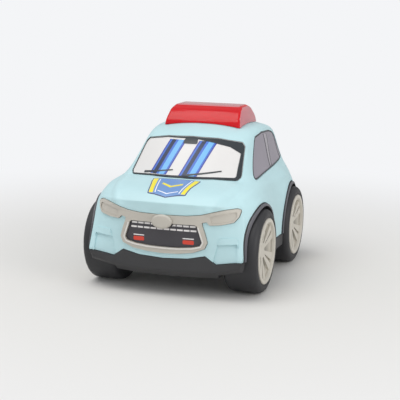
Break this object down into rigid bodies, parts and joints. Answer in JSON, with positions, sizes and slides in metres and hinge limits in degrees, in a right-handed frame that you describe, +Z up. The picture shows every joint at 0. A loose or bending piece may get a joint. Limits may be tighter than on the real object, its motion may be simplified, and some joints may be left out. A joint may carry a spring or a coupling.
{
  "type": "toy car",
  "caption": "Chunky push-and-go toy car with a moulded shell on a tray chassis, a flywheel friction motor, free-spinning front wheels and a hollow roof light bar.",
  "frame": {"origin": "on the ground under the middle of the car, where the centre of its length and width meets the plane the wheels stand on", "axes": "+Z up, -Y towards the nose, +Y towards the tail, +X towards the car's left side"},
  "size_m": [0.108, 0.1439, 0.1036],
  "materials": {
    "body": "satin moulded ABS, light blue",
    "black": "satin moulded ABS, charcoal",
    "screen": "printed ABS, off-white",
    "glass": "opaque smoke grey ABS",
    "grey": "satin moulded ABS, warm grey",
    "dark": "satin moulded ABS, dark grey",
    "lamp": "glossy red styrene",
    "bar": "glossy translucent red styrene",
    "rubber": "matte moulded",
    "steel": "plain bright steel",
    "nylon": "natural moulded nylon"
  },
  "bodies": {
    "car_body": {"body_shell": "body", "chassis": "black", "windscreen": "screen", "side_window_left": "glass", "side_window_right": "glass", "tailgate_window": "glass", "front_trim": "grey", "grille_panel": "dark", "light_bar": "bar", "tail_lamp_left": "lamp", "tail_lamp_right": "lamp", "front_axle_clip": "dark", "motor_case": "dark", "motor_cover": "dark", "idler_pin": "steel", "chassis_screw_1": "steel", "chassis_screw_2": "steel", "chassis_screw_3": "steel", "chassis_screw_4": "steel", "motor_screw_1": "steel", "motor_screw_2": "steel", "cover_screw_1": "steel", "cover_screw_2": "steel", "clip_screw_1": "steel", "clip_screw_2": "steel"},
    "front_wheelset": {"front_axle": "steel", "hub_front_left": "grey", "hub_front_right": "grey", "tyre_front_left": "rubber", "tyre_front_right": "rubber"},
    "rear_wheelset": {"rear_axle": "steel", "hub_rear_left": "grey", "hub_rear_right": "grey", "tyre_rear_left": "rubber", "tyre_rear_right": "rubber", "axle_gear": "nylon"},
    "idler": {"idler_gear": "nylon"},
    "flywheel_unit": {"flywheel_arbor": "steel", "flywheel": "steel"}
  },
  "joints": [
    {"name": "front_axle_spin", "type": "hinge", "parent": "car_body", "child": "front_wheelset", "pos_m": [0, -0.03695, 0.02488], "axis": [1, 0, 0], "continuous": true},
    {"name": "rear_axle_spin", "type": "hinge", "parent": "car_body", "child": "rear_wheelset", "pos_m": [0, 0.04055, 0.02488], "axis": [1, 0, 0], "continuous": true},
    {"name": "idler_spin", "type": "hinge", "parent": "car_body", "child": "idler", "pos_m": [0, 0.0316, 0.03092], "axis": [1, 0, 0], "continuous": true},
    {"name": "flywheel_spin", "type": "hinge", "parent": "car_body", "child": "flywheel_unit", "pos_m": [0, 0.02126, 0.0291], "axis": [1, 0, 0], "continuous": true}
  ],
  "couplings": [
    {"joint": "idler_spin", "follows": "rear_axle_spin", "ratio": -2.6},
    {"joint": "flywheel_spin", "follows": "rear_axle_spin", "ratio": 7.5111}
  ]
}
